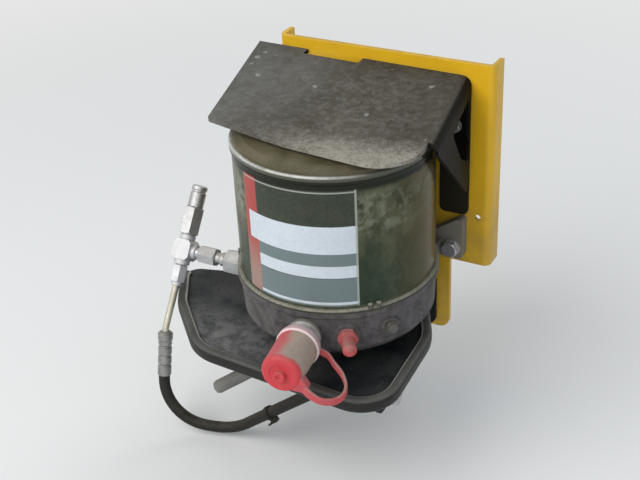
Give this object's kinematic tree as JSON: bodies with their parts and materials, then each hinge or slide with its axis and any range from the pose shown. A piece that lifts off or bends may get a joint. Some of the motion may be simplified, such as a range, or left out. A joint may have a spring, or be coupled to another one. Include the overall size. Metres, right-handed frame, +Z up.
{
  "type": "central lubrication pump unit",
  "caption": "Grease pump with a clear round reservoir, sheet hood, edged shelf, capped filler, outlet tee with relief valve and feed hose, on a folded carrier.",
  "frame": {"origin": "centre of the four frame bolt holes, on the carrier's back face", "axes": "+X to the right along the wall as seen from in front, +Y into the wall, +Z up"},
  "size_m": [0.2608, 0.2503, 0.3239],
  "materials": {
    "yellow_paint": "satin machine paint, dusty",
    "black_sheet": "black powder coat, dusty and scuffed",
    "black_cover": "semi-matt black",
    "zinc_fastener": "zinc plated",
    "steel_fitting": "zinc plated, dusty",
    "edge_rubber": "matt, worn grey along the top",
    "hose_rubber": "matt",
    "cast_housing": "dark cast finish with dust",
    "grey_plastic": "matt",
    "clear_plastic": "clear, smeared inside",
    "red_plastic": "soft red plastic, dusty",
    "grease": "dark green grease"
  },
  "bodies": {
    "unit": {"carrier": "yellow_paint", "hood": "black_sheet", "hood_bolts": "zinc_fastener", "shelf": "black_sheet", "shelf_edge": "edge_rubber", "shelf_bolts": "zinc_fastener", "pump_housing": "cast_housing", "pump_bolts": "zinc_fastener", "motor_cover": "black_cover", "power_inlet": "grey_plastic", "reservoir": "clear_plastic", "reservoir_ring": "cast_housing", "reservoir_lid": "clear_plastic", "grease": "grease", "filler_neck": "steel_fitting", "cap_strap": "red_plastic", "port_plug": "red_plastic", "blanking_screw": "steel_fitting", "pump_element": "steel_fitting", "union_nut": "steel_fitting", "tee": "steel_fitting", "relief_valve": "steel_fitting", "outlet_nut": "steel_fitting", "outlet_pipe": "steel_fitting", "hose_sleeve": "steel_fitting", "feed_hose": "hose_rubber", "end_sleeve": "steel_fitting", "line_union": "steel_fitting"},
    "cap": {"filler_cap": "red_plastic"}
  },
  "joints": [
    {"name": "cap_slide", "type": "slide", "parent": "unit", "child": "cap", "axis": [0.1564, -0.9877, 0], "range_m": [0, 0.05], "deforming": ["cap_strap"]}
  ]
}
